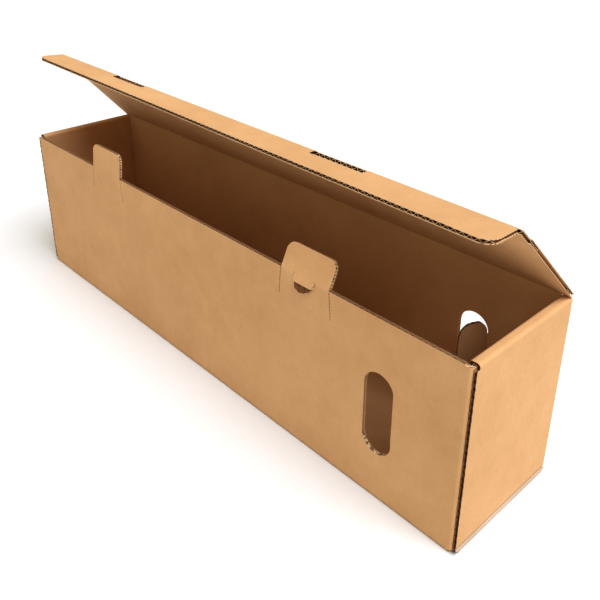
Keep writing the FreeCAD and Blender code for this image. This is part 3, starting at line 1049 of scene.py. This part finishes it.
    def _hinge(self) -> bpy.types.Object:
        """The hinge fold along the back wall."""
        start = np.array([self.axis[0], self.axis[1] - self.hold])
        columns = (-self.hinge_half, self.hinge_half)
        return self._bend("lid_hinge_fold", start, 90.0, 90.0 - self.angle, self.hold, columns, False)

    def _fold(self, name: str, start: float, end: float) -> bpy.types.Object:
        """One stretch of the fold between lid and tuck flap."""
        place = self.tuck_axis - self.hold * self._ray(self.angle)
        return self._bend(f"tuck_fold_{name}", place, 180.0 - self.angle, self.tuck_turn, self.hold,
                          (start, end), True)

    def _flap(self) -> bpy.types.Object:
        """The tuck flap, with round free corners and two slots at its fold."""
        half, corner = self.tuck_half, self.tuck_round

        def free(across: np.ndarray) -> np.ndarray:
            """Free edge, falling back by a circle at the two corners."""
            over = np.clip(np.abs(across) - (half - corner), 0.0, corner)
            return self.tuck_depth - corner + np.sqrt(corner**2 - over**2)

        def root(across: np.ndarray) -> np.ndarray:
            """Edge at the fold, further out in the slots, whose inner corners are round."""
            aside = np.minimum(np.abs(across - self.slot_x), np.abs(across + self.slot_x))
            over = np.clip(aside - (self.slot_half - self.slot_round), 0.0, self.slot_round)
            sunk = self.slot_depth - self.slot_round + np.sqrt(self.slot_round**2 - over**2)
            return np.where(aside < self.slot_half, sunk, self.hold)

        fan = np.sin(np.radians(np.linspace(0, 90, 9)))
        stations = [np.linspace(-half, half, 45)]
        for hand in (-1.0, 1.0):
            stations.append(hand * (half - corner + corner * fan))
            for side in (-1.0, 1.0):
                inset = self.slot_half - self.slot_round + self.slot_round * fan
                stations.append(hand * self.slot_x + side * inset)
        jumps = tuple(h * self.slot_x + s * self.slot_half for h in (-1, 1) for s in (-1, 1))
        rows = np.array([self.hold, 5.0, 8.0, 14.0, 21.0, 27.0, self.tuck_depth])
        outline = Outline(np.concatenate(stations), root, free, rows, jumps)
        maker = BoardMaker(self.materials, self.thick)
        maker.add(outline, self._flat_place(self.tuck_axis, self.angle - self.tuck_turn), depth=12.0)
        piece = maker.finish("tuck_flap_panel")
        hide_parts("tuck_flap")
        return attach(piece, "tuck_flap")


@dataclass
class LockTab:
    """A lock tab on the top edge of the front wall, with its soft crease.

    Attributes:
        name: name of its body.
        middle: its centre along the box.
        lean: how far it leans inwards, in degrees.
        materials: board materials.
        moon: radius of the half-moon below its crease, or 0.
        thick: thickness of the board.
        web: thickness of its crushed fluting.
        axis: fold line, across and up.
        half: half width.
        height: from the fold line to the top edge.
        corner: its round corners.
        hold: board on each side of the fold line that belongs to the crease.
        moon_rows: how far down the liners of the half-moon reach; its fluting goes on to the round edge.
    """

    name: str
    middle: float
    lean: float
    materials: list[bpy.types.Material]
    moon: float = 0.0
    thick: float = 3.4
    web: float = 1.2
    axis: tuple[float, float] = (-65.6, 178.6)
    half: float = 29.0
    height: float = 29.0
    corner: float = 9.0
    hold: float = 1.8
    moon_rows: float = -6.0

    def build(self) -> list[bpy.types.Object]:
        """Make the tab and its crease."""
        lean = math.radians(self.lean)
        ray = np.array([math.sin(lean), math.cos(lean)])
        normal = np.array([-math.cos(lean), math.sin(lean)])
        origin = np.array(self.axis)

        def place(across: np.ndarray, along: np.ndarray, height: np.ndarray) -> np.ndarray:
            """Point: crease line, way up and height over it; the half-moon curls out by a square."""
            lift = height + 0.012 * np.minimum(along, 0.0) ** 2
            spot = origin + along[:, None] * ray + lift[:, None] * normal
            return np.stack([across + self.middle, spot[:, 0], spot[:, 1]], axis=1)

        def top(across: np.ndarray) -> np.ndarray:
            """Top edge, falling by a circle at the two corners."""
            over = np.clip(np.abs(across) - (self.half - self.corner), 0.0, self.corner)
            return self.height - self.corner + np.sqrt(self.corner**2 - over**2)

        def foot(across: np.ndarray) -> np.ndarray:
            """Lower edge: the crease, or the round edge of the half-moon."""
            bow = -np.sqrt(np.maximum(self.moon**2 - across**2, 0.0))
            return np.where(np.abs(across) < self.moon, bow, self.hold)

        fan = np.sin(np.radians(np.linspace(-90, 90, 19)))
        round_ends = [hand * (self.half - self.corner + self.corner * fan[9:]) for hand in (-1, 1)]
        stations = np.concatenate([np.linspace(-self.half, self.half, 13), *round_ends])
        jumps: tuple[float, ...] = ()
        if self.moon:
            stations = np.concatenate([stations, self.moon * fan])
            jumps = (-self.moon, self.moon)
        rows = np.array([self.moon_rows, self.hold, 6.0, 12.0, 18.0, 24.0, self.height])
        maker = BoardMaker(self.materials, self.thick, web=self.web)
        maker.add(Outline(stations, foot, top, rows, jumps), place, depth=10.0)
        piece = maker.finish(f"{self.name}_panel")
        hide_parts(self.name)
        pieces = [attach(piece, self.name)]
        inner = self.moon + 0.4 if self.moon else 0.0
        if not self.moon:
            pieces.append(self._crease("", -self.half, self.half))
        else:
            pieces.append(self._crease("_left", -self.half, -inner))
            pieces.append(self._crease("_right", inner, self.half))
        return pieces

    def _crease(self, label: str, start: float, end: float) -> bpy.types.Object:
        """The crease of the tab: an arc between two short runs."""
        turn = self.lean
        radius = 0.8 * self.hold / math.tan(math.radians(turn) / 2)
        run = 0.2 * self.hold
        path = FoldPath((self.axis[0], self.axis[1] - self.hold), 90.0,
                        ((run, 0.0), (radius * math.radians(turn), -turn), (run, 0.0)), 1.0)

        stations = np.linspace(start, end, 7)
        outline = Outline(stations, level(0.0), level(path.length), path.stations(2.0, 4.0))
        maker = BoardMaker(self.materials, self.thick)
        maker.add(outline, along_box(path, centre=self.middle), depth=0.0)
        piece = maker.finish(f"{self.name}_fold{label}")
        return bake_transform(piece)


@dataclass
class HandFlap:
    """The piece pushed in out of a hand hole, held along its straight right side.

    Attributes:
        side: front or back.
        angle: how far it is pushed in, in degrees.
        materials: board materials.
        axis: fold line, along the box and from the middle plane of the wall.
        wall: middle plane of the wall, from that of the box.
        edge: where the fold leaves the wall, along the box.
        radius: its round ends.
        low: centre of its lower end.
        high: centre of its upper end.
    """

    side: Side
    angle: float
    materials: list[bpy.types.Material]
    axis: tuple[float, float] = (265.1, 1.8)
    wall: float = 65.6
    edge: float = 265.5
    radius: float = 15.1
    low: float = 64.0
    high: float = 114.0

    def build(self) -> list[bpy.types.Object]:
        """Make the flap and its fold."""
        name = "front_hand_flap" if self.side is Side.FRONT else "rear_hand_flap"
        quarter = self.axis[1] * math.radians(self.angle)
        lead = self.edge - self.axis[0]
        legs = ((lead, 0.0), (quarter, -self.angle), (2 * self.radius, 0.0))
        path = FoldPath((self.edge, 0.0), 180.0, legs, 1.0)
        start = path.ends[2]

        def place(across: np.ndarray, along: np.ndarray, height: np.ndarray) -> np.ndarray:
            """Point: the fold path seen from above, measured inwards from the wall."""
            points, normals = path.at(across)
            spot = points + height[:, None] * normals
            return np.stack([spot[:, 0], self.side.value * (self.wall - spot[:, 1]), along], axis=1)

        def bow(across: np.ndarray) -> np.ndarray:
            """Rise of the round ends over their centres."""
            off = across - start - self.radius
            return np.sqrt(np.maximum(self.radius**2 - off**2, 0.0))

        fan = np.sin(np.radians(np.linspace(-90, 90, 21)))
        stations = start + self.radius + self.radius * fan
        rows = np.array([50.0, 64.0, 80.0, 98.0, 114.0, 128.0])
        shape = Outline(stations, lambda a: self.low - bow(a), lambda a: self.high + bow(a), rows)
        maker = BoardMaker(self.materials)
        maker.add(shape, place, depth=10.0)
        piece = maker.finish(f"{name}_panel")
        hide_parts(name)
        pieces = [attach(piece, name)]
        stations = path.stations(4.0, 8.0)
        stations = stations[stations <= start + 1e-6]
        rows = np.array([self.low, 80.0, 98.0, self.high])
        strip = Outline(stations, level(self.low), level(self.high), rows)
        maker = BoardMaker(self.materials)
        maker.add(strip, place, depth=0.0, inner_only=True)
        fold = maker.finish(f"{name}_fold")
        pieces.append(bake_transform(fold))
        return pieces


@dataclass(frozen=True)
class Lamp:
    """A far light with a soft edge.

    Attributes:
        name: name of the light.
        aim: direction from the box towards it.
        power: its strength.
        spread: how wide it looks, in degrees.
        tint: its colour.
    """

    name: str
    aim: tuple[float, float, float]
    power: float
    spread: float
    tint: tuple[float, float, float] = (1.0, 1.0, 1.0)

    def build(self) -> None:
        """Make the light and turn it to its aim."""
        light = bpy.data.lights.new(self.name, "SUN")
        light.energy = self.power
        light.color = self.tint
        light.angle = math.radians(self.spread)
        lamp = bpy.data.objects.new(self.name, light)
        lamp.rotation_mode = "QUATERNION"
        lamp.rotation_quaternion = Vector(self.aim).to_track_quat("Z", "Y")
        bpy.context.scene.collection.objects.link(lamp)


@dataclass
class Studio:
    """Pale floor, soft light and the camera.

    Attributes:
        place: camera position in metres.
        turn: camera azimuth and elevation in degrees.
        focal: focal length in pixels of the 600 pixel frame.
        centre: principal point in pixels.
        reach: half width of the floor in metres.
        sky: colour of the surround.
        glow: strength of the surround.
        gamma: view gamma; below 1 it deepens the dark tones, as in the photograph.
    """

    place: tuple[float, float, float] = (0.55308, -0.44234, 0.49425)
    turn: tuple[float, float] = (46.916, 24.095)
    focal: float = 737.51
    centre: tuple[float, float] = (295.01, 199.99)
    reach: float = 30.0
    sky: tuple[float, float, float, float] = (1.0, 0.88, 0.70, 1.0)
    glow: float = 0.53
    gamma: float = 0.8

    def build(self) -> None:
        """Set up floor, lights, world and camera."""
        self._floor()
        self._lights()
        self._camera()

    def _floor(self) -> None:
        """A wide, pale, slightly mottled floor that is not part of the box."""
        grid = np.array([[-1, -1, 0], [1, -1, 0], [1, 1, 0], [-1, 1, 0]], float) * self.reach
        mesh = bpy.data.meshes.new("floor")
        mesh.from_pydata(grid.tolist(), [], [(0, 1, 2, 3)])
        material = bpy.data.materials.new("pale_floor")
        material.use_nodes = True
        tree = material.node_tree
        shader = tree.nodes["Principled BSDF"]
        shader.inputs["Roughness"].default_value = 0.9
        shader.inputs["Specular IOR Level"].default_value = 0.1
        noise = tree.nodes.new("ShaderNodeTexNoise")
        noise.inputs["Scale"].default_value = 3.0
        ramp = tree.nodes.new("ShaderNodeValToRGB")
        ramp.color_ramp.elements[0].color = linear(231, 231, 230)
        ramp.color_ramp.elements[1].color = linear(235, 235, 235)
        tree.links.new(tree.nodes.new("ShaderNodeTexCoord").outputs["Object"], noise.inputs["Vector"])
        tree.links.new(noise.outputs["Fac"], ramp.inputs["Fac"])
        tree.links.new(ramp.outputs["Color"], shader.inputs["Base Color"])
        mesh.materials.append(material)
        floor = bpy.data.objects.new("floor", mesh)
        bpy.context.scene.collection.objects.link(floor)

    def _lights(self) -> None:
        """An even, warm surround, a broad cool key light from the right and above, and a weak fill."""
        world = bpy.data.worlds.new("studio")
        world.use_nodes = True
        surround = world.node_tree.nodes["Background"]
        surround.inputs["Strength"].default_value = self.glow
        surround.inputs["Color"].default_value = self.sky
        bpy.context.scene.world = world
        Lamp("key_light", (1.0, -0.06, 1.6), 3.15, 45.0, (1.0, 1.08, 1.2)).build()
        Lamp("fill_light", (0.15, -0.9, 0.5), 0.12, 60.0).build()

    def _camera(self) -> None:
        """The camera at the photograph's place and angle."""
        data = bpy.data.cameras.new("camera")
        data.sensor_width = SENSOR
        data.lens = self.focal / PICTURE * SENSOR
        data.shift_x = (PICTURE / 2 - self.centre[0]) / PICTURE
        data.shift_y = (self.centre[1] - PICTURE / 2) / PICTURE
        data.clip_start = 0.02
        camera = bpy.data.objects.new("camera", data)
        azimuth, elevation = (math.radians(x) for x in self.turn)
        flat = math.cos(elevation)
        back = Vector((math.sin(azimuth) * flat, -math.cos(azimuth) * flat, math.sin(elevation)))
        camera.location = self.place
        camera.rotation_mode = "QUATERNION"
        camera.rotation_quaternion = (-back).to_track_quat("-Z", "Y")
        bpy.context.scene.collection.objects.link(camera)
        bpy.context.scene.camera = camera
        bpy.context.scene.view_settings.view_transform = "Standard"
        bpy.context.scene.view_settings.gamma = self.gamma


def main() -> None:
    logging.basicConfig(level=logging.INFO)
    materials = [
        BoardFinish("kraft_liner", (219, 178, 132), (201, 159, 113)).build(),
        BoardFinish("cut_edge", (240, 210, 172), (214, 176, 132), fibre=1.0, ribs=0.0, roughness=0.88,
                    nicks=0.75).build(),
        # This fluting paper is also the painted shade in the end walls' groove.
        BoardFinish("fluting_and_shade", (128, 88, 54), (92, 58, 32), fibre=1.0, ribs=0.0, roughness=0.88).build(),
        # Painted reflection: a pale greyish tone for the shaded foot bulge of the end walls, lit by floor
        # light.
        BoardFinish("painted_foot_reflection", (204, 182, 160), (184, 160, 136), ribs=0.0).build(),
    ]
    LongWall(Side.FRONT, materials).build()
    LongWall(Side.BACK, materials, top=182.0).build()
    Base(materials).build()
    EndWall(1, materials, strip=(62.6, 66.2)).build()
    EndWall(-1, materials, strip=(62.6, 65.0)).build()
    Lid(materials).build()
    LockTab("left_tab", -163.0, 6.0, materials).build()
    LockTab("middle_tab", 163.0, 25.0, materials, moon=12.4, height=25.8).build()
    HandFlap(Side.FRONT, 100.0, materials).build()
    HandFlap(Side.BACK, 69.0, materials).build()
    Studio().build()


if __name__ == "__main__":
    main()
